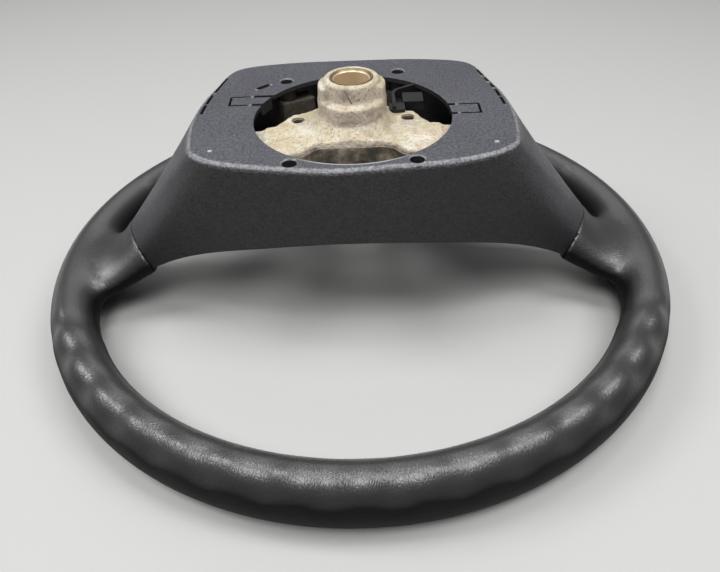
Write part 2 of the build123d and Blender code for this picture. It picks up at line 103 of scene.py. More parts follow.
# How far a root starts inside the cover, how far from the axis its two upright sections stand, and the
# subdivisions that round it
ROOT_START = 12.0 * MM
MIDWAY_REACH = 152.0 * MM
RIM_REACH = RIM_RADIUS - 13.5 * MM
ROOT_LEVELS = 3

# Where the roots are blended into the ring: from the middle of the grip inwards and outwards, and to each
# side of a spoke; and the smoothing passes over the whole skin after that
BLEND_INWARDS = 22.0 * MM
BLEND_OUTWARDS = 2.0 * MM
BLEND_SIDE = radians(27.0)
SKIN_PASSES = 4

# How far from its seam's point a root is cut, and how much of the rim's breadth is kept out of the cut
CUT_REACH = 55.0 * MM
RIM_KEPT = 26.0 * MM

# The finger valleys' spread round the section, their run-out at a spoke, and the powers of their slopes
FINGER_SPREAD = radians(48.0)
FINGER_RUN_OUT = radians(5.0)
VALLEY_POWER = 1.2
SPREAD_POWER = 3

# The sides of the grip's section and the steps of its ring
SECTION_SIDES = 40
RING_STEPS = 240

# The wrinkles of the rim's skin: their squeeze across the grip, and how far they are bent
WRINKLE_SQUEEZE = 0.55
WRINKLE_BEND = 4.0 * MM

# Each pair of distances or heights below holds the two ends of a soft limit

# Where the cover's plastic has been bent: the tabs' bridges and the ribs of the service caps
STRESS_MARKS = [Vector((x, y, 117.0)) * MM for x, y in (
    (-59.3, 17.5), (-59.3, 29.0), (59.3, -2.0), (59.3, 9.6), (-57.5, 39.5), (-50.0, 46.0),
    (84.0, 30.0), (82.0, 39.0), (80.3, 48.0), (-83.0, 36.0))]
STRESS_REACH = (0.7 * MM, 1.9 * MM)

# The two pips on the plate's near corners, painted pale as a glint
PIPS = [Vector((x, -37.7, 117.9)) * MM for x in (-74.0, 74.0)]
PIP_REACH = (1.0 * MM, 1.5 * MM)

# Radius of the cover's opening round the hub, and the painted highlight round its edge, which runs out
# along y
OPENING_RADIUS = 55.3 * MM
OPENING_HIGHLIGHT_REACH = (OPENING_RADIUS + 0.5 * MM, OPENING_RADIUS + 1.1 * MM)
OPENING_HIGHLIGHT_END = (-53.0 * MM, -46.0 * MM)

# The heights at which the rubbed edge of the cover's plate begins and ends; its pale scuffs are a painted
# highlight
RUBBED_HIGHLIGHT_FROM = (COVER_TOP - 6.0 * MM, COVER_TOP - 4.0 * MM)
RUBBED_HIGHLIGHT_TO = (COVER_TOP - 0.45 * MM, COVER_TOP - 0.25 * MM)

# How much darker and paler the cover's fine mottling is than its colour
MOTTLING = 0.35

# The cast lumps: their two sizes, the tower's radius and the share of their height that they have on it,
# the breadth over which they grow to full height, and the plain end of the hub with its fade
LARGE_LUMP = 9.0 * MM
SMALL_LUMP = 3.0 * MM
TOWER_RADIUS = 17.0 * MM
TOWER_SHARE = 0.12
LUMP_GROWTH = 6.0 * MM
PLAIN_END = 1.5 * MM
PLAIN_FADE = 2.0 * MM

# The two threaded holes in the hub plate, and the scale of the wave pattern that draws their thread,
# whose turns are 1.26 mm apart
PULLER_HOLES = [Vector((x, 3.5, 0.0)) * MM for x in (-31.0, 31.0)]
PULLER_REACH = (3.4 * MM, 3.9 * MM)
THREAD_SCALE = 250.0

# Points along the slanting crack in the front of the hub's neck, and where that front ends along y
CRACK = [Vector((-3.5 + 0.36 * i, 0.0, 137.6 - 0.7 * i)) * MM for i in range(10)]
CRACK_REACH = (0.25 * MM, 0.65 * MM)
NECK_FRONT = (-12.0 * MM, -10.0 * MM)

# The top of the hub plate's walls, below which shade is painted, and the parting line along it
WALL_TOP = (111.5 * MM, 113.0 * MM)
LIP_HEIGHT = 110.9 * MM
LIP_HALF_WIDTH = 0.3 * MM

# The casting's painted shade: heights below the hub plate, and places along y and up behind the tower
BELOW_PLATE = (90.0 * MM, 98.0 * MM)
BEHIND_TOWER = (29.0 * MM, 42.0 * MM)
BEHIND_TOP = (106.0 * MM, 112.0 * MM)

# The radius of the sleeve's bright mouth, and the heights of its end
SLEEVE_MOUTH = (9.9 * MM, 10.3 * MM)
SLEEVE_END = (HUB_TOP - 2.0 * MM, HUB_TOP - 1.6 * MM)

# How many times paler, and how much duller, scuffs are on the black fittings
SCUFF_PALENESS = 3.0
SCUFF_DULLNESS = 0.15

# The black fittings: node, slot, material, colour and roughness
FITTINGS = (("cover_screws", "screws", "screw_coating", (0.020, 0.020, 0.021), 0.4),
            ("wiring_guide", "guide", "guide_moulding", (0.006, 0.006, 0.0065), 0.4))

# The lamps: name, place and side in metres, and power in watts; and the spot that they point at
LAMPS = (("front", (-0.12, -0.70, 1.16), 0.56, 10.0),
         ("left", (-0.95, 0.00, 1.05), 0.56, 9.0),
         ("right", (0.70, -0.20, 1.15), 0.56, 8.0),
         ("overhead", (0.0, 0.05, 1.30), 0.40, 4.0),
         ("far", (0.0, 0.90, 1.10), 1.00, 3.5))
LAMP_AIM = Vector((0.0, 0.0, 0.05))

# The camera's sensor in millimetres, and the nearest that it sees
SENSOR_WIDTH = 36.0
CLIP_START = 10.0 * MM

# Colour and strength of the light from all round
SKY_COLOUR = (0.92, 0.95, 1.0, 1.0)
SKY_STRENGTH = 0.12


class RimSettings(bpy.types.PropertyGroup):
    """Sizes and colours of the rim's moulded skin."""

    grip_width: bpy.props.FloatProperty(
        name="Grip Width", description="Width of the grip's section, across the wheel",
        default=27.0 * MM, unit="LENGTH")
    grip_height: bpy.props.FloatProperty(
        name="Grip Height", description="Height of the grip's section, along the column",
        default=36.8 * MM, unit="LENGTH")
    finger_count: bpy.props.IntProperty(
        name="Fingers", description="Finger grips that a whole turn of the rim would have",
        default=40, min=1)
    finger_depth: bpy.props.FloatProperty(
        name="Finger Depth", description="Depth of the valleys between the finger grips",
        default=1.9 * MM, unit="LENGTH")
    finger_slant: bpy.props.FloatProperty(
        name="Finger Side", description="Where the grips lie round the section, from its outer side up",
        default=radians(66.0), subtype="ANGLE")
    finger_clear: bpy.props.FloatProperty(
        name="Finger Clearance", description="Plain stretch of rim on each side of a spoke",
        default=radians(20.0), subtype="ANGLE")
    voxel: bpy.props.FloatProperty(
        name="Skin Cell", description="Size of the cells that join the ring and the spoke roots",
        default=1.9 * MM, unit="LENGTH")
    blend_steps: bpy.props.IntProperty(
        name="Blend", description="Smoothing passes where the roots run into the ring",
        default=48, min=0)
    # The dark colour shows on what faces down as painted shade; the worn colour shows on what faces up as
    # real hand wear with painted light
    colour: bpy.props.FloatVectorProperty(
        name="Colour", description="Charcoal of the skin",
        default=(0.006, 0.0057, 0.0057), size=3, subtype="COLOR")
    worn_and_lit_colour: bpy.props.FloatVectorProperty(
        name="Worn Colour", description="Charcoal where hands have polished it",
        default=(0.040, 0.0385, 0.0385), size=3, subtype="COLOR")


class CoverSettings(bpy.types.PropertyGroup):
    """Colours and edges of the moulded covers."""

    edge: bpy.props.FloatProperty(
        name="Edge", description="Rounding of the covers' sharp edges",
        default=0.5 * MM, unit="LENGTH")
    colour: bpy.props.FloatVectorProperty(
        name="Colour", description="Blue-grey charcoal of the moulding",
        default=(0.018, 0.018, 0.020), size=3, subtype="COLOR")
    # Shows on what faces up: dust, and painted light from above
    dusty_lit_colour: bpy.props.FloatVectorProperty(
        name="Dusty Colour", description="Charcoal under a film of dust",
        default=(0.080, 0.081, 0.095), size=3, subtype="COLOR")
    # Also painted as highlights on the rubbed edge, the opening's near edge and the pips
    stressed_and_highlight_colour: bpy.props.FloatVectorProperty(
        name="Stressed Colour", description="Plastic gone white where it was bent or rubbed",
        default=(0.42, 0.42, 0.43), size=3, subtype="COLOR")


class CastingSettings(bpy.types.PropertyGroup):
    """Colours and edges of the hub casting, its sleeve and the small fittings."""

    voxel: bpy.props.FloatProperty(
        name="Casting Cell", description="Size of the cells that round the hub's cast edges",
        default=0.78 * MM, unit="LENGTH")
    rounding_steps: bpy.props.IntProperty(
        name="Rounding", description="Smoothing passes over the hub's cast edges",
        default=6, min=0)
    lump_height: bpy.props.FloatProperty(
        name="Lump Height", description="Height of the uneven lumps on the hub plate",
        default=0.55 * MM, unit="LENGTH")
    hub_reach: bpy.props.FloatProperty(
        name="Hub Reach", description="How far from the axis the casting is seen and gets its cast edges",
        default=66.0 * MM, unit="LENGTH")
    sleeve_edge: bpy.props.FloatProperty(
        name="Sleeve Edge", description="Rounding of the sleeve's edges",
        default=0.25 * MM, unit="LENGTH")
    fitting_edge: bpy.props.FloatProperty(
        name="Fitting Edge", description="Rounding of the screws' and the guide's edges",
        default=0.3 * MM, unit="LENGTH")
    colour: bpy.props.FloatVectorProperty(
        name="Colour", description="Cream of the oxidised casting",
        default=(0.51, 0.44, 0.30), size=3, subtype="COLOR")
    # Also laid on the casting's steep sides as painted light
    stain_colour: bpy.props.FloatVectorProperty(
        name="Stain Colour", description="Grey-brown film on the casting",
        default=(0.62, 0.53, 0.44), size=3, subtype="COLOR")
    # Also the painted shade on the hub plate's walls
    dirt_and_shade_colour: bpy.props.FloatVectorProperty(
        name="Dirt Colour", description="Dark dirt in the hollows",
        default=(0.110, 0.082, 0.052), size=3, subtype="COLOR")
    # Painted shade below the hub plate and behind the tower
    painted_shade_colour: bpy.props.FloatVectorProperty(
        name="Deep Colour", description="Bare dark casting under the plate",
        default=(0.040, 0.034, 0.026), size=3, subtype="COLOR")
    white_colour: bpy.props.FloatVectorProperty(
        name="White Colour", description="White bloom on the casting",
        default=(0.60, 0.56, 0.46), size=3, subtype="COLOR")
    grey_colour: bpy.props.FloatVectorProperty(
        name="Grey Colour", description="Bare grey patches of the casting",
        default=(0.40, 0.37, 0.32), size=3, subtype="COLOR")
    sleeve_colour: bpy.props.FloatVectorProperty(
        name="Sleeve Colour", description="Yellow plating of the sleeve",
        default=(0.64, 0.49, 0.29), size=3, subtype="COLOR")


class StageSettings(bpy.types.PropertyGroup):
    """Floor and camera."""

    floor_colour: bpy.props.FloatVectorProperty(
        name="Floor", description="Pale floor",
        default=(0.45, 0.45, 0.44), size=3, subtype="COLOR")
    floor_size: bpy.props.FloatProperty(
        name="Floor Size", description="Side of the square floor",
        default=8.0, unit="LENGTH")
    azimuth: bpy.props.FloatProperty(
        name="Azimuth", description="Camera's turn round the wheel",
        default=radians(0.6), subtype="ANGLE")
    elevation: bpy.props.FloatProperty(
        name="Elevation", description="Camera's height over the floor",
        default=radians(39.6), subtype="ANGLE")
    roll: bpy.props.FloatProperty(
        name="Roll", description="Camera's tilt about its own axis",
        default=radians(-2.23), subtype="ANGLE")
    place: bpy.props.FloatVectorProperty(
        name="Place", description="Where the camera stands",
        default=(4.02 * MM, -348.12 * MM, 281.49 * MM), size=3, subtype="TRANSLATION")
    lens: bpy.props.FloatProperty(
        name="Lens", description="Focal length on a 36 mm sensor",
        default=33.36, subtype="DISTANCE_CAMERA")


def settings(name):
    """One of the add-on's property groups."""
    return getattr(bpy.context.scene, name)


def clamped(value, low=0.0, high=1.0):
    """A number held between two others."""
    return min(max(value, low), high)


def new_object(name, data):
    """An object at the origin that shows a mesh, a lamp or a camera."""
    obj = bpy.data.objects.new(name, data)
    bpy.context.scene.collection.objects.link(obj)
    return obj


def mesh_from(bm, name):
    """A mesh from a bmesh, which is freed."""
    mesh = bpy.data.meshes.new(name)
    bm.to_mesh(mesh)
    bm.free()
    return mesh


def with_modifiers_applied(obj):
    """The object, with its modifiers worked into a new mesh."""
    depsgraph = bpy.context.evaluated_depsgraph_get()
    mesh = bpy.data.meshes.new_from_object(obj.evaluated_get(depsgraph))
    obj.modifiers.clear()
    obj.data = mesh
    return obj


def remade_in_cells(bm, name, voxel):
    """An object whose shape is a bmesh's, made again in even cells, and that shape as a new bmesh."""
    obj = new_object(name, mesh_from(bm, name))
    cells = obj.modifiers.new("Cells", "REMESH")
    cells.mode = "VOXEL"
    cells.voxel_size = voxel
    with_modifiers_applied(obj)
    bm = bmesh.new()
    bm.from_mesh(obj.data)
    return obj, bm


def smoothed(bm, verts, steps):
    """Draws vertices towards the middle of their neighbours, several times."""
    for _ in range(steps):
        bmesh.ops.smooth_vert(bm, verts=verts, factor=0.5,
                              use_axis_x=True, use_axis_y=True, use_axis_z=True)


def shaped(obj, bm, sharp_angle):
    """The object with a bmesh's shape, shaded smooth except at edges sharper than an angle."""
    bm.to_mesh(obj.data)
    bm.free()
    obj.data.shade_smooth()
    obj.data.set_sharp_from_angle(angle=sharp_angle)
    return obj


def fitted(obj, material, node):
    """Gives a finished piece its material and puts it in the place of a CAD node."""
    obj.data.materials.clear()
    obj.data.materials.append(material)
    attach(obj, BODY)
    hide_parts(node)
    return obj


def merged_copy(node):
    """A bmesh copy of a CAD node's mesh with its doubles merged."""
    bm = bmesh.new()
    bm.from_mesh(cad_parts[node].data)
    bmesh.ops.remove_doubles(bm, verts=bm.verts[:], dist=MERGE)
    bmesh.ops.dissolve_degenerate(bm, edges=bm.edges[:], dist=MERGE)
    return bm


def softened_copy(node, name, edge):
    """A copy of a CAD node with its flat faces made of few triangles and its sharp edges rounded."""
    bm = merged_copy(node)
    bmesh.ops.dissolve_limit(bm, angle_limit=FLAT_ANGLE, verts=bm.verts[:], edges=bm.edges[:])
    bmesh.ops.triangulate(bm, faces=[face for face in bm.faces if len(face.verts) > 4])
    mesh = mesh_from(bm, name)
    mesh.shade_smooth()
    obj = new_object(name, mesh)
    rounding = obj.modifiers.new("Rounded Edges", "BEVEL")
    rounding.limit_method = "ANGLE"
    rounding.angle_limit = EDGE_ANGLE
    rounding.width = edge
    rounding.segments = EDGE_SEGMENTS
    normals = obj.modifiers.new("Flat Faces", "WEIGHTED_NORMAL")
    normals.weight = FLAT_WEIGHT
    return with_modifiers_applied(obj)


# Shader nodes


def new_material(name):
    """An empty node material with its shader and the Object coordinates."""
    material = bpy.data.materials.new(name)
    material.use_nodes = True
    tree = material.node_tree
    tree.nodes.clear()
    output = tree.nodes.new("ShaderNodeOutputMaterial")
    shader = tree.nodes.new("ShaderNodeBsdfPrincipled")
    tree.links.new(shader.outputs["BSDF"], output.inputs["Surface"])
    place = tree.nodes.new("ShaderNodeTexCoord")
    return material, tree, shader, place.outputs["Object"]


def wired(tree, node, values=None, links=None):
    """The node, with some sockets set to plain values and others linked to what feeds them."""
    for key, value in (values or {}).items():
        node.inputs[key].default_value = value
    for key, source in (links or {}).items():
        tree.links.new(source, node.inputs[key])
    return node


def add_node(tree, kind, values=None, links=None, **options):
    """A new node with its options, its sockets' plain values and the links into them."""
    node = tree.nodes.new(kind)
    for key, value in options.items():
        setattr(node, key, value)
    return wired(tree, node, values, links)


def noise(tree, place, scale, detail=3.0, roughness=0.55):
    """A noise pattern's value, with its scale in cycles per metre."""
    node = add_node(tree, "ShaderNodeTexNoise",
                    {"Scale": scale, "Detail": detail, "Roughness": roughness}, {"Vector": place})
    return node.outputs["Fac"]


def remap(tree, value, low, high, to_low=0.0, to_high=1.0):
    """A value stretched from one range to another and held inside it."""
    node = add_node(tree, "ShaderNodeMapRange",
                    {"From Min": low, "From Max": high, "To Min": to_low, "To Max": to_high},
                    {"Value": value})
    return node.outputs["Result"]


def between(tree, mask, at_none, at_full):
    """A value that runs from one number to another as a mask runs from 0 to 1."""
    return remap(tree, mask, 0.0, 1.0, at_none, at_full)


def band(tree, value, rise, fall):
    """A mask that is 1 between a rise and a fall, each given as its two ends."""
    return times(tree, remap(tree, value, *rise), remap(tree, value, *fall, 1.0, 0.0))


def maths(tree, operation, a, b=None):
    """One sum of two values, each a socket or a number."""
    node = tree.nodes.new("ShaderNodeMath")
    node.operation = operation
    for i, item in enumerate((a, b)):
        if item is None:
            continue
        if isinstance(item, (int, float)):
            node.inputs[i].default_value = item
        else:
            tree.links.new(item, node.inputs[i])
    return node.outputs["Value"]


def times(tree, a, b):
    """The product of two values."""
    return maths(tree, "MULTIPLY", a, b)


def most(tree, *masks):
    """The highest of some masks."""
    highest = masks[0]
    for mask in masks[1:]:
        highest = maths(tree, "MAXIMUM", highest, mask)
    return highest


def blended(tree, mask, a, b):
    """Two colours mixed by a mask, each a socket or three numbers."""
    node = tree.nodes.new("ShaderNodeMix")
    node.data_type = "RGBA"
    tree.links.new(mask, node.inputs["Factor"])
    for key, item in (("A", a), ("B", b)):
        socket = [s for s in node.inputs if s.name == key and s.type == "RGBA"][0]
        if isinstance(item, bpy.types.NodeSocket):
            tree.links.new(item, socket)
        else:
            socket.default_value = (*item, 1.0)
    return [s for s in node.outputs if s.type == "RGBA"][0]


def axes(tree, vector):
    """A vector's three parts."""
    node = add_node(tree, "ShaderNodeSeparateXYZ", links={"Vector": vector})
    return node.outputs["X"], node.outputs["Y"], node.outputs["Z"]


def facing_up(tree):
    """How far the surface faces up: 1 on a level top and 0 on an upright wall."""
    geometry = add_node(tree, "ShaderNodeNewGeometry")
    return axes(tree, geometry.outputs["Normal"])[2]


def flattened(tree, place, kept):
    """A place with some of its parts made 0, where kept has 1 for each part that stays."""
    node = add_node(tree, "ShaderNodeVectorMath", {1: kept}, {0: place}, operation="MULTIPLY")
    return node.outputs["Vector"]


def near_points(tree, place, points, inner, outer):
    """A mask that is 1 close to any of some points and 0 beyond a reach."""
    nearest = None
    for point in points:
        node = add_node(tree, "ShaderNodeVectorMath", {1: point}, {0: place}, operation="DISTANCE")
        gap = node.outputs["Value"]
        nearest = gap if nearest is None else maths(tree, "MINIMUM", nearest, gap)
    return remap(tree, nearest, inner, outer, 1.0, 0.0)


def near_lines(tree, place, points, inner, outer):
    """A mask that is 1 close to any of some upright lines and 0 beyond a reach."""
    return near_points(tree, flattened(tree, place, (1.0, 1.0, 0.0)), points, inner, outer)


def bumped(tree, shader, height, depth, strength=1.0):
    """Sends a height pattern to a shader's normal, with its depth in metres, and gives that normal."""
    node = add_node(tree, "ShaderNodeBump", {"Strength": strength, "Distance": depth}, {"Height": height})
    tree.links.new(node.outputs["Normal"], shader.inputs["Normal"])
    return node.outputs["Normal"]


def group_frame(name, inputs, outputs):
    """A new shader node group with named sockets, its input node and its output node."""
    group = bpy.data.node_groups.new(name, "ShaderNodeTree")
    for kind, title, default in inputs:
        socket = group.interface.new_socket(name=title, in_out="INPUT", socket_type=kind)
        if default is not None:
            socket.default_value = default
    for kind, title in outputs:
        group.interface.new_socket(name=title, in_out="OUTPUT", socket_type=kind)
    return group, group.nodes.new("NodeGroupInput"), group.nodes.new("NodeGroupOutput")


def grain_group():
    """Moulded grain: small pebbles with creases between them, and finer pores."""
    group, start, end = group_frame(
        "Moulded Grain",
        [("NodeSocketVector", "Place", None), ("NodeSocketFloat", "Pebbles", 700.0),
         ("NodeSocketFloat", "Pores", 2400.0)],
        [("NodeSocketFloat", "Height")])
    cells = add_node(group, "ShaderNodeTexVoronoi", {"Randomness": 1.0},
                     {"Vector": start.outputs["Place"], "Scale": start.outputs["Pebbles"]},
                     feature="DISTANCE_TO_EDGE")
    pebble = remap(group, cells.outputs["Distance"], 0.0, 0.22)
    pores = add_node(group, "ShaderNodeTexNoise", {"Detail": 2.0},
                     {"Vector": start.outputs["Place"], "Scale": start.outputs["Pores"]})
    height = maths(group, "ADD", pebble, times(group, pores.outputs["Fac"], 0.5))
    group.links.new(height, end.inputs["Height"])
    return group


def film_group():
    """A patchy film, such as dust or dirt: a cloud broken up by finer clouds."""
    group, start, end = group_frame(
        "Patchy Film",
        [("NodeSocketVector", "Place", None), ("NodeSocketFloat", "Patches", 30.0),
         ("NodeSocketFloat", "Level", 0.5), ("NodeSocketFloat", "Softness", 0.12)],
        [("NodeSocketFloat", "Mask")])
    clouds = add_node(group, "ShaderNodeTexNoise", {"Detail": 6.0, "Roughness": 0.62},
                      {"Vector": start.outputs["Place"], "Scale": start.outputs["Patches"]})
    low = maths(group, "SUBTRACT", start.outputs["Level"], start.outputs["Softness"])
    high = maths(group, "ADD", start.outputs["Level"], start.outputs["Softness"])
    stretch = add_node(group, "ShaderNodeMapRange",
                       links={"Value": clouds.outputs["Fac"], "From Min": low, "From Max": high})
    group.links.new(stretch.outputs["Result"], end.inputs["Mask"])
    return group


def effect(name, maker):
    """A shared node group, made the first time that it is asked for."""
    return bpy.data.node_groups.get(name) or maker()


def grain(tree, place, pebbles, pores):
    """The height of the moulded grain at two scales."""
    node = add_node(tree, "ShaderNodeGroup", {"Pebbles": pebbles, "Pores": pores}, {"Place": place},
                    node_tree=effect("Moulded Grain", grain_group))
    return node.outputs["Height"]


def film(tree, place, patches, level, softness):
    """The mask of a patchy film."""
    node = add_node(tree, "ShaderNodeGroup",
                    {"Patches": patches, "Level": level, "Softness": softness}, {"Place": place},
                    node_tree=effect("Patchy Film", film_group))
    return node.outputs["Mask"]


# Rim's material


def rim_course(tree, place):
    """Places laid out along the rim, squeezed across it and bent, which turns grain to wrinkles."""
    x, y, z = axes(tree, place)
    along = times(tree, maths(tree, "ARCTAN2", y, x), RIM_RADIUS)
    reach = maths(tree, "SQRT", maths(tree, "ADD", maths(tree, "POWER", x, 2.0),
                                      maths(tree, "POWER", y, 2.0)))
    laid_out = add_node(tree, "ShaderNodeCombineXYZ",
                        links={"X": along, "Y": times(tree, reach, WRINKLE_SQUEEZE),
                               "Z": times(tree, z, WRINKLE_SQUEEZE)}).outputs["Vector"]
    waves = add_node(tree, "ShaderNodeTexNoise", {"Scale": 160.0, "Detail": 2.0}, {"Vector": laid_out})
    bend = add_node(tree, "ShaderNodeVectorMath", {1: (WRINKLE_BEND, WRINKLE_BEND, WRINKLE_BEND)},
                    {0: waves.outputs["Color"]}, operation="MULTIPLY")
    course = add_node(tree, "ShaderNodeVectorMath", links={0: laid_out, 1: bend.outputs["Vector"]},
                      operation="ADD")
    return course.outputs["Vector"]


def skin_material(p):
    """Foam skin of the rim: charcoal, with fine wrinkles across the grip, polished on what faces up; its
    colour is paler there as painted light and darker below as painted shade.
    """
    material, tree, shader, place = new_material("rim_skin")
    worn = film(tree, place, patches=14.0, level=0.52, softness=0.2)
    polish_and_top_light = remap(tree, facing_up(tree), 0.3, 0.85)
    # Paler on what faces up: real hand wear and painted light from above; the rest is darker as painted
    # shade
    worn_and_top_lit = times(tree, polish_and_top_light, between(tree, worn, 0.75, 1.0))
    dull = maths(tree, "ADD", between(tree, worn, 0.38, 0.34), between(tree, polish_and_top_light, 0.2, 0.0))
    height = grain(tree, rim_course(tree, place), pebbles=620.0, pores=1500.0)
    wrinkles = bumped(tree, shader, height, depth=0.07 * MM, strength=0.8)
    wired(tree, shader, {"Specular IOR Level": 0.1, "Coat Roughness": 0.36, "Coat IOR": 1.7},
          {"Base Color": blended(tree, worn_and_top_lit, p.colour, p.worn_and_lit_colour), "Roughness": dull,
           "Coat Weight": polish_and_top_light, "Coat Normal": wrinkles})
    return material


# Covers' material


def mottled(tree, fine, colour):
    """A colour that runs from darker to paler as a fine pattern runs from 0 to 1."""
    darker = [(1.0 - MOTTLING) * value for value in colour]
    paler = [(1.0 + MOTTLING) * value for value in colour]
    return blended(tree, fine, darker, paler)


def rubbed_edge_highlight(tree, place, up):
    """A mask of the rounded edge round the cover's plate, which is glossier there and painted pale as a
    highlight.
    """
    slope = band(tree, up, rise=(0.55, 0.72), fall=(0.93, 0.985))
    height = band(tree, axes(tree, place)[2], rise=RUBBED_HIGHLIGHT_FROM, fall=RUBBED_HIGHLIGHT_TO)
    return times(tree, slope, height)


def pale_spots(tree, place, rubbed_highlight, fine):
    """A mask of bent plastic, the pips' painted glint, the painted highlight on the opening's near side,
    and the rubbed edges' painted highlight.
    """
    bent = times(tree, near_points(tree, place, STRESS_MARKS, *STRESS_REACH),
                 remap(tree, noise(tree, place, scale=900.0), 0.42, 0.6, 0.0, 0.8))
    # The pips painted pale: a painted glint
    pips = times(tree, near_points(tree, place, PIPS, *PIP_REACH), 0.9)
    # A painted highlight on the near edge of the opening
    opening_highlight = times(tree, near_lines(tree, place, AXIS, *OPENING_HIGHLIGHT_REACH),
                 remap(tree, axes(tree, place)[1], *OPENING_HIGHLIGHT_END, 0.75, 0.0))
    # Pale scuffs on the rubbed edge: a painted highlight
    scuffs = times(tree, rubbed_highlight, between(tree, fine, 0.22, 0.5))
    return most(tree, bent, pips, opening_highlight, scuffs)


def cover_material(p):
    """Grained and mottled moulding of the covers, paler on what faces up with dust and painted light, and
    pale in spots, some of them painted highlights.
    """
    material, tree, shader, place = new_material("cover_moulding")
    up = facing_up(tree)
    patchy = between(tree, film(tree, place, patches=22.0, level=0.5, softness=0.3), 0.6, 1.0)
    # Paler on what faces up: dust, and painted light from above
    dust_and_top_light = times(tree, patchy, remap(tree, up, 0.15, 0.95))
    fine = remap(tree, noise(tree, place, scale=620.0, detail=2.0), 0.38, 0.62)
    dusty_and_lit = blended(tree, dust_and_top_light, mottled(tree, fine, p.colour), mottled(tree, fine, p.dusty_lit_colour))
    # The rubbed edge: glossier, and painted pale as a highlight
    rubbed_highlight = rubbed_edge_highlight(tree, place, up)
    colour = blended(tree, pale_spots(tree, place, rubbed_highlight, fine), dusty_and_lit, p.stressed_and_highlight_colour)
    dull = remap(tree, noise(tree, place, scale=60.0), 0.3, 0.7, 0.34, 0.44)
    wired(tree, shader, links={"Base Color": colour,
                               "Roughness": maths(tree, "SUBTRACT", dull, times(tree, rubbed_highlight, 0.08))})
    bumped(tree, shader, grain(tree, place, pebbles=800.0, pores=2200.0), depth=0.15 * MM)
    return material


# Hub's materials


def casting_colour(tree, place, stain, side, p):
    """Cream with white bloom and bare grey patches, under a grey-brown film on stains and steep sides; on
    the steep sides it is painted light, paler than the cream where less light falls.
    """
    bloom = film(tree, place, patches=55.0, level=0.54, softness=0.05)
    bare = times(tree, film(tree, place, patches=62.0, level=0.63, softness=0.03), 0.8)
    cream = blended(tree, bare, blended(tree, bloom, p.colour, p.white_colour), p.grey_colour)
    # On steep sides the grey-brown tone is painted light: paler colour where less light falls
    stain_and_side_light = most(tree, times(tree, stain, 0.7), times(tree, side, 0.8))
    return blended(tree, stain_and_side_light, cream, p.stain_colour)


def plate_walls(tree, place, side):
    """A mask of the hub plate's steep walls, where shade is painted, fainter on the parting line along
    their top.
    """
    z = axes(tree, place)[2]
    walls = times(tree, remap(tree, z, *WALL_TOP, 1.0, 0.0), side)
    lip = add_node(tree, "ShaderNodeMath", {1: LIP_HEIGHT, 2: LIP_HALF_WIDTH}, {0: z},
                   operation="COMPARE")
    return times(tree, walls, between(tree, lip.outputs["Value"], 1.0, 0.45))


def drawn_marks(tree, place):
    """A mask of the thread in the puller holes and the crack in the hub's neck."""
    thread = add_node(tree, "ShaderNodeTexWave", {"Scale": THREAD_SCALE}, {"Vector": place},
                      bands_direction="Z")
    holes = times(tree, near_lines(tree, place, PULLER_HOLES, *PULLER_REACH),
                  remap(tree, thread.outputs["Fac"], 0.2, 0.8, 0.5, 1.0))
    from_front = flattened(tree, place, (1.0, 0.0, 1.0))
    crack = times(tree, near_points(tree, from_front, CRACK, *CRACK_REACH),
                  remap(tree, axes(tree, place)[1], *NECK_FRONT, 0.95, 0.0))
    return most(tree, holes, crack)


def casting_dirt_and_shade(tree, place, side, walls):
    """A mask of specks, spots and marks, and of painted shade on the hub plate's walls."""
    specks = times(tree, film(tree, place, patches=700.0, level=0.58, softness=0.06), 0.6)
    spots = times(tree, film(tree, place, patches=130.0, level=0.58, softness=0.08),
                  between(tree, side, 0.35, 0.5))
    # Painted shade on the hub plate's walls
    shade_on_walls = between(tree, film(tree, place, patches=120.0, level=0.5, softness=0.12), 0.55, 0.98)
    return most(tree, specks, spots, times(tree, walls, shade_on_walls), drawn_marks(tree, place))


def painted_shade_depths(tree, place, walls):
    """A mask of painted shade below the hub plate, behind the tower and on the walls."""
    _, y, z = axes(tree, place)
    below = remap(tree, z, *BELOW_PLATE, 0.95, 0.0)
    behind = times(tree, remap(tree, y, *BEHIND_TOWER), remap(tree, z, *BEHIND_TOP, 0.97, 0.0))
    # More painted shade on the walls
    wall_shade = between(tree, film(tree, place, patches=75.0, level=0.5, softness=0.08), 0.0, 0.8)
    return most(tree, below, behind, times(tree, walls, wall_shade))


def casting_material(p):
    """Rough die casting: stained cream, with dirt, and painted shade in its depths and on the plate's
    walls.
    """
    material, tree, shader, place = new_material("hub_casting")
    stain = film(tree, place, patches=70.0, level=0.57, softness=0.05)
    side = remap(tree, facing_up(tree), 0.25, 0.8, 1.0, 0.0)
    walls = plate_walls(tree, place, side)
    dirtied_and_shaded = blended(tree, casting_dirt_and_shade(tree, place, side, walls),
                      casting_colour(tree, place, stain, side, p), p.dirt_and_shade_colour)
    # Painted shade in the depths and on the walls
    colour = blended(tree, painted_shade_depths(tree, place, walls), dirtied_and_shaded, p.painted_shade_colour)
    wired(tree, shader, {"Metallic": 0.1},
          {"Base Color": colour, "Roughness": between(tree, stain, 0.5, 0.7)})
    lumps = maths(tree, "ADD", noise(tree, place, scale=600.0, detail=4.0, roughness=0.65),
                  times(tree, stain, 0.25))
    bumped(tree, shader, lumps, depth=0.8 * MM, strength=0.8)
    return material


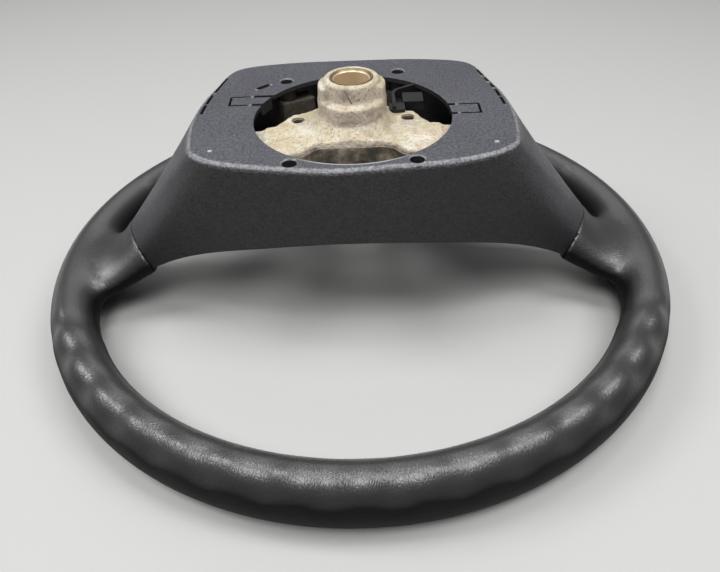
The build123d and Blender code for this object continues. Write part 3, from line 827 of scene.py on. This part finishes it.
def sleeve_material(p):
    """Turned and plated sleeve: fine rings round its axis, faint stains and dirt round its bright mouth."""
    material, tree, shader, place = new_material("sleeve_plating")
    rings = add_node(tree, "ShaderNodeTexWave", {"Scale": 900.0, "Distortion": 0.6, "Detail": 2.0},
                     {"Vector": place}, wave_type="RINGS", rings_direction="Z")
    stain = film(tree, place, patches=90.0, level=0.5, softness=0.2)
    round_mouth = between(tree, near_lines(tree, place, AXIS, *SLEEVE_MOUTH), 0.85, 0.0)
    at_end = remap(tree, axes(tree, place)[2], *SLEEVE_END)
    plating = blended(tree, times(tree, stain, 0.4), p.sleeve_colour, p.stain_colour)
    wired(tree, shader, {"Metallic": 0.4},
          {"Base Color": blended(tree, times(tree, round_mouth, at_end), plating, p.dirt_and_shade_colour),
           "Roughness": between(tree, stain, 0.34, 0.5)})
    bumped(tree, shader, rings.outputs["Fac"], depth=0.02 * MM, strength=0.4)
    return material


def black_material(name, colour, roughness):
    """Plain black moulding or coating with faint scuffs, paler and duller than the rest."""
    material, tree, shader, place = new_material(name)
    scuffs = film(tree, place, patches=120.0, level=0.56, softness=0.16)
    pale = [SCUFF_PALENESS * value for value in colour]
    wired(tree, shader, {"Specular IOR Level": 0.3},
          {"Base Color": blended(tree, scuffs, colour, pale),
           "Roughness": between(tree, scuffs, roughness, roughness + SCUFF_DULLNESS)})
    bumped(tree, shader, noise(tree, place, scale=900.0), depth=0.05 * MM, strength=0.5)
    return material


def floor_material(p):
    """Plain pale floor."""
    material, tree, shader, _ = new_material("floor")
    wired(tree, shader, {"Base Color": (*p.floor_colour, 1.0), "Roughness": 0.9})
    return material


# Rim


def grip_middle(p):
    """The radius of the ring that the middle of the grip's section makes."""
    return RIM_RADIUS - p.grip_width / 2


def ring_of_grip(bm, p):
    """Spins the grip's oval section round the column's axis."""
    oval = bmesh.ops.create_circle(bm, cap_ends=False, segments=SECTION_SIDES, radius=1.0)["verts"]
    upright = Matrix.Rotation(radians(90.0), 4, "X")
    size = Matrix.Diagonal((p.grip_width / 2, p.grip_height / 2, 1.0, 1.0))
    middle = Matrix.Translation((grip_middle(p), 0.0, p.grip_height / 2))
    bmesh.ops.transform(bm, matrix=middle @ upright @ size, verts=oval)
    bmesh.ops.spin(bm, geom=bm.edges[:], cent=(0, 0, 0), axis=(0, 0, 1), angle=2 * pi,
                   steps=RING_STEPS, use_merge=True)
    bmesh.ops.remove_doubles(bm, verts=bm.verts[:], dist=MERGE)


def seam_matrix():
    """The right-hand seam plane's frame: its x across the spoke and its y up."""
    across = Vector((-SEAM_NORMAL.y, SEAM_NORMAL.x, 0.0)).normalized()
    up = SEAM_NORMAL.cross(across)
    turn = Matrix((across, up, SEAM_NORMAL)).transposed().to_4x4()
    return Matrix.Translation(SEAM_POINT) @ turn


def upright_matrix(reach):
    """The frame of an upright plane across the right-hand spoke: its x along +Y and its y up."""
    turn = Matrix(((0, 0, 1), (1, 0, 0), (0, 1, 0))).to_4x4()
    return Matrix.Translation((reach, 0.0, 0.0)) @ turn


def spoke_root(bm, turn):
    """Bridges smooth sections from inside the cover, through the seam, into the rim."""
    seam = seam_matrix()
    inside = seam @ Matrix.Translation((0.0, 0.0, -ROOT_START))
    sections = ((inside, SEAM_SECTION), (seam, SEAM_SECTION),
                (upright_matrix(MIDWAY_REACH), MIDWAY_SECTION), (upright_matrix(RIM_REACH), RIM_SECTION))
    swing = Matrix.Rotation(turn, 4, "Z")
    loops = []
    for place, points in sections:
        corners = [bm.verts.new(swing @ place @ Vector((u * MM, v * MM, 0.0))) for u, v in points]
        loops.append([bm.edges.new((corners[i - 1], corners[i])) for i in range(len(corners))])
    for one, other in zip(loops, loops[1:]):
        bmesh.ops.bridge_loops(bm, edges=one + other)
    for edges in (loops[0], loops[-1]):
        bmesh.ops.contextual_create(bm, geom=edges)


def root_cage():
    """The four spoke roots as smooth closed shapes."""
    bm = bmesh.new()
    for degrees in SPOKES[:2]:
        spoke_root(bm, radians(degrees))
    twin = bmesh.ops.duplicate(bm, geom=bm.verts[:] + bm.edges[:] + bm.faces[:])["geom"]
    twin_verts = [item for item in twin if isinstance(item, bmesh.types.BMVert)]
    bmesh.ops.transform(bm, matrix=MIRROR, verts=twin_verts)
    bmesh.ops.recalc_face_normals(bm, faces=bm.faces[:])
    roots = new_object("spoke_roots", mesh_from(bm, "spoke_roots"))
    smooth = roots.modifiers.new("Smooth", "SUBSURF")
    smooth.levels = ROOT_LEVELS
    smooth.render_levels = ROOT_LEVELS
    return with_modifiers_applied(roots)


def spoke_offset(angle):
    """How far a direction lies from the nearest spoke."""
    return min(abs((angle - radians(spoke) + pi) % (2 * pi) - pi) for spoke in SPOKES)


def soften_roots(bm, p):
    """Rounds the inner corners where the roots run into the ring."""
    middle = grip_middle(p)
    zone = []
    for vert in bm.verts:
        inwards = middle - hypot(vert.co.x, vert.co.y)
        offset = spoke_offset(atan2(vert.co.y, vert.co.x))
        if -BLEND_OUTWARDS < inwards < BLEND_INWARDS and offset < BLEND_SIDE:
            zone.append(vert)
    smoothed(bm, zone, p.blend_steps)
    smoothed(bm, bm.verts[:], SKIN_PASSES)


def press_fingers(bm, p):
    """Presses the valleys between the finger grips into the top of the ring's near half."""
    pitch = 2 * pi / p.finger_count
    bm.normal_update()
    moves = []
    for vert in bm.verts:
        angle = atan2(vert.co.y, vert.co.x)
        if angle >= 0.0:
            continue
        across = (hypot(vert.co.x, vert.co.y) - grip_middle(p)) / p.grip_width
        up = (vert.co.z - p.grip_height / 2) / p.grip_height
        side = abs((atan2(up, across) - p.finger_slant + pi) % (2 * pi) - pi)
        valley = (0.5 + 0.5 * cos(2 * pi * ((angle / pitch) % 1.0 - 0.5))) ** VALLEY_POWER
        spread = exp(-(side / FINGER_SPREAD) ** SPREAD_POWER)
        free = clamped((spoke_offset(angle) - p.finger_clear) / FINGER_RUN_OUT)
        moves.append((vert, p.finger_depth * valley * spread * free))
    for vert, depth in moves:
        vert.co -= vert.normal * depth


def seam_plane(spoke):
    """A point and the normal of the plane in which a spoke's root ends, a hair outside the cover."""
    swing = Matrix.Rotation(radians(min(spoke, 180.0 - spoke)), 4, "Z")
    if spoke > 90.0:
        swing = MIRROR @ swing
    return swing @ (SEAM_POINT + SEAM_NORMAL * SEAM_GAP), swing.to_3x3() @ SEAM_NORMAL


def root_geometry(bm, point):
    """The vertices, edges and faces of a root round its seam's point."""
    faces = []
    for face in bm.faces:
        middle = face.calc_center_median()
        if (middle - point).length < CUT_REACH and hypot(*middle.xy) < RIM_RADIUS - RIM_KEPT:
            faces.append(face)
    edges = dict.fromkeys(edge for face in faces for edge in face.edges)
    verts = dict.fromkeys(vert for face in faces for vert in face.verts)
    return list(verts) + list(edges) + faces


def trim_at_seams(bm):
    """Cuts the roots off in their seam planes, with a rounded lip, and closes them."""
    for spoke in SPOKES:
        point, normal = seam_plane(spoke)
        for level, draw in SEAM_LIP:
            cut = bmesh.ops.bisect_plane(
                bm, geom=root_geometry(bm, point), clear_inner=level == 0.0,
                plane_co=point + normal * level * MM, plane_no=normal)["geom_cut"]
            loop = [item for item in cut if isinstance(item, bmesh.types.BMVert)]
            middle = sum((vert.co for vert in loop), Vector()) / len(loop)
            for vert in loop:
                vert.co += (middle - vert.co).normalized() * draw * MM
        end = [item for item in cut if isinstance(item, bmesh.types.BMEdge)]
        bmesh.ops.holes_fill(bm, edges=end, sides=0)


def rim_skin(p):
    """The rim's moulding: ring and roots joined, blended, pressed with finger grips and trimmed."""
    bm = bmesh.new()
    ring_of_grip(bm, p)
    roots = root_cage()
    bm.from_mesh(roots.data)
    bpy.data.objects.remove(roots)
    bmesh.ops.recalc_face_normals(bm, faces=bm.faces[:])
    skin, bm = remade_in_cells(bm, "rim_skin", p.voxel)
    soften_roots(bm, p)
    press_fingers(bm, p)
    trim_at_seams(bm)
    bmesh.ops.recalc_face_normals(bm, faces=bm.faces[:])
    return shaped(skin, bm, SKIN_SHARP)


# Hub


def parted(node, reach, inside):
    """The part of a CAD node inside an upright box round the axis, or the rest, closed where it was cut."""
    bm = merged_copy(node)
    for normal in ((1, 0, 0), (-1, 0, 0), (0, 1, 0), (0, -1, 0)):
        geometry = bm.verts[:] + bm.edges[:] + bm.faces[:]
        bmesh.ops.bisect_plane(bm, geom=geometry, plane_co=Vector(normal) * reach, plane_no=normal)
    spare = [face for face in bm.faces
             if (max(abs(c) for c in face.calc_center_median().xy) < reach) != inside]
    bmesh.ops.delete(bm, geom=spare, context="FACES")
    open_edges = [edge for edge in bm.edges if edge.is_boundary]
    bmesh.ops.holes_fill(bm, edges=open_edges, sides=0)
    return bm


def roughen(bm, p):
    """Gives the hub plate its uneven cast lumps, low on the tower and none at its end."""
    bm.normal_update()
    moves = []
    for vert in bm.verts:
        plate = clamped((hypot(vert.co.x, vert.co.y) - TOWER_RADIUS) / LUMP_GROWTH, low=TOWER_SHARE)
        below_end = clamped((HUB_TOP - PLAIN_END - vert.co.z) / PLAIN_FADE)
        lumps = swell.noise(vert.co / LARGE_LUMP) + 0.5 * swell.noise(vert.co / SMALL_LUMP)
        moves.append((vert, vert.normal * p.lump_height * lumps * plate * below_end))
    for vert, move in moves:
        vert.co += move


def cast_hub(p):
    """The casting, with the hub that is seen rounded off as cast and the arms and ring as they are."""
    hub, bm = remade_in_cells(parted("armature", p.hub_reach, True), "hub_casting", p.voxel)
    smoothed(bm, bm.verts[:], p.rounding_steps)
    roughen(bm, p)
    rest = mesh_from(parted("armature", p.hub_reach, False), "arms_and_ring")
    bm.from_mesh(rest)
    bpy.data.meshes.remove(rest)
    return shaped(hub, bm, CASTING_SHARP)


# Stage


def set_floor(p):
    """A square floor under the wheel."""
    bm = bmesh.new()
    bmesh.ops.create_grid(bm, x_segments=1, y_segments=1, size=p.floor_size / 2)
    floor = new_object("floor", mesh_from(bm, "floor"))
    floor.data.materials.append(floor_material(p))


def set_lamp(name, place, size, power):
    """A square lamp that points at the wheel's middle."""
    data = bpy.data.lights.new(name, "AREA")
    data.size = size
    data.energy = power
    lamp = new_object(name, data)
    aim = LAMP_AIM - Vector(place)
    lamp.matrix_world = Matrix.Translation(place) @ aim.to_track_quat("-Z", "Y").to_matrix().to_4x4()


def set_sky():
    """Even, faint light from all round."""
    world = bpy.data.worlds.new("studio")
    bpy.context.scene.world = world
    world.use_nodes = True
    wired(world.node_tree, world.node_tree.nodes["Background"],
          {"Color": SKY_COLOUR, "Strength": SKY_STRENGTH})


def set_camera(p):
    """A camera at the set place, turned by azimuth, elevation and roll."""
    data = bpy.data.cameras.new("camera")
    data.sensor_width = SENSOR_WIDTH
    data.lens = p.lens
    data.clip_start = CLIP_START
    camera = new_object("camera", data)
    level = cos(p.elevation)
    back = Vector((sin(p.azimuth) * level, -cos(p.azimuth) * level, sin(p.elevation)))
    right = (-back).cross(Vector((0, 0, 1))).normalized()
    up = right.cross(-back)
    rolled_right = right * cos(p.roll) + up * sin(p.roll)
    rolled_up = up * cos(p.roll) - right * sin(p.roll)
    turn = Matrix((rolled_right, rolled_up, back)).transposed().to_4x4()
    camera.matrix_world = Matrix.Translation(p.place) @ turn
    bpy.context.scene.camera = camera


class WHEEL_OT_rim(bpy.types.Operator):
    """Makes the rim's moulded skin with its finger grips and spoke roots"""

    bl_idname = "wheel.rim"
    bl_label = "Rim Skin"

    def execute(self, context):
        p = settings("wheel_rim")
        fitted(rim_skin(p), skin_material(p), "rim_grip")
        return {"FINISHED"}


class WHEEL_OT_covers(bpy.types.Operator):
    """Makes the rear cover and the two service caps in its flanks"""

    bl_idname = "wheel.covers"
    bl_label = "Covers"

    def execute(self, context):
        p = settings("wheel_cover")
        material = cover_material(p)
        for node in ("rear_cover", "left_service_cap", "right_service_cap"):
            fitted(softened_copy(node, node + "_moulding", p.edge), material, node)
        return {"FINISHED"}


class WHEEL_OT_casting(bpy.types.Operator):
    """Makes the hub casting and the sleeve in it"""

    bl_idname = "wheel.casting"
    bl_label = "Hub Casting"

    def execute(self, context):
        p = settings("wheel_casting")
        fitted(cast_hub(p), casting_material(p), "armature")
        sleeve = softened_copy("splined_boss", "column_sleeve", p.sleeve_edge)
        fitted(sleeve, sleeve_material(p), "splined_boss")
        return {"FINISHED"}


class WHEEL_OT_fittings(bpy.types.Operator):
    """Finishes the cover's screws and the wiring guide"""

    bl_idname = "wheel.fittings"
    bl_label = "Screws and Guide"

    def execute(self, context):
        p = settings("wheel_casting")
        for node, slot, name, colour, roughness in FITTINGS:
            piece = softened_copy(node, node + "_finish", p.fitting_edge)
            fitted(piece, black_material(name, colour, roughness), node)
        return {"FINISHED"}


class WHEEL_OT_stage(bpy.types.Operator):
    """Sets the floor, the lights and the camera"""

    bl_idname = "wheel.stage"
    bl_label = "Stage"

    def execute(self, context):
        p = settings("wheel_stage")
        set_floor(p)
        for name, place, size, power in LAMPS:
            set_lamp(name, place, size, power)
        set_sky()
        set_camera(p)
        bpy.context.scene.view_settings.view_transform = "Standard"
        return {"FINISHED"}


class WHEEL_PT_panel(bpy.types.Panel):
    """Lists the wheel's operators and settings"""

    bl_label = "Bare Steering Wheel"
    bl_idname = "WHEEL_PT_panel"
    bl_space_type = "VIEW_3D"
    bl_region_type = "UI"
    bl_category = "Wheel"

    def draw(self, context):
        for operator in OPERATORS:
            self.layout.operator(operator.bl_idname)
        for name, group in SETTINGS:
            box = self.layout.box()
            for key in group.__annotations__:
                box.prop(getattr(context.scene, name), key)


SETTINGS = (("wheel_rim", RimSettings), ("wheel_cover", CoverSettings),
            ("wheel_casting", CastingSettings), ("wheel_stage", StageSettings))
OPERATORS = (WHEEL_OT_rim, WHEEL_OT_covers, WHEEL_OT_casting, WHEEL_OT_fittings, WHEEL_OT_stage)


def register():
    """Registers the settings, the operators and the panel."""
    for name, group in SETTINGS:
        bpy.utils.register_class(group)
        setattr(bpy.types.Scene, name, bpy.props.PointerProperty(type=group))
    for item in OPERATORS + (WHEEL_PT_panel,):
        bpy.utils.register_class(item)


def unregister():
    """Takes away what register added."""
    for item in (WHEEL_PT_panel,) + OPERATORS[::-1]:
        bpy.utils.unregister_class(item)
    for name, group in SETTINGS[::-1]:
        delattr(bpy.types.Scene, name)
        bpy.utils.unregister_class(group)


def main():
    """Dresses the wheel."""
    register()
    bpy.ops.wheel.rim()
    bpy.ops.wheel.covers()
    bpy.ops.wheel.casting()
    bpy.ops.wheel.fittings()
    bpy.ops.wheel.stage()
    bpy.context.view_layer.update()


if __name__ == "__main__":
    main()
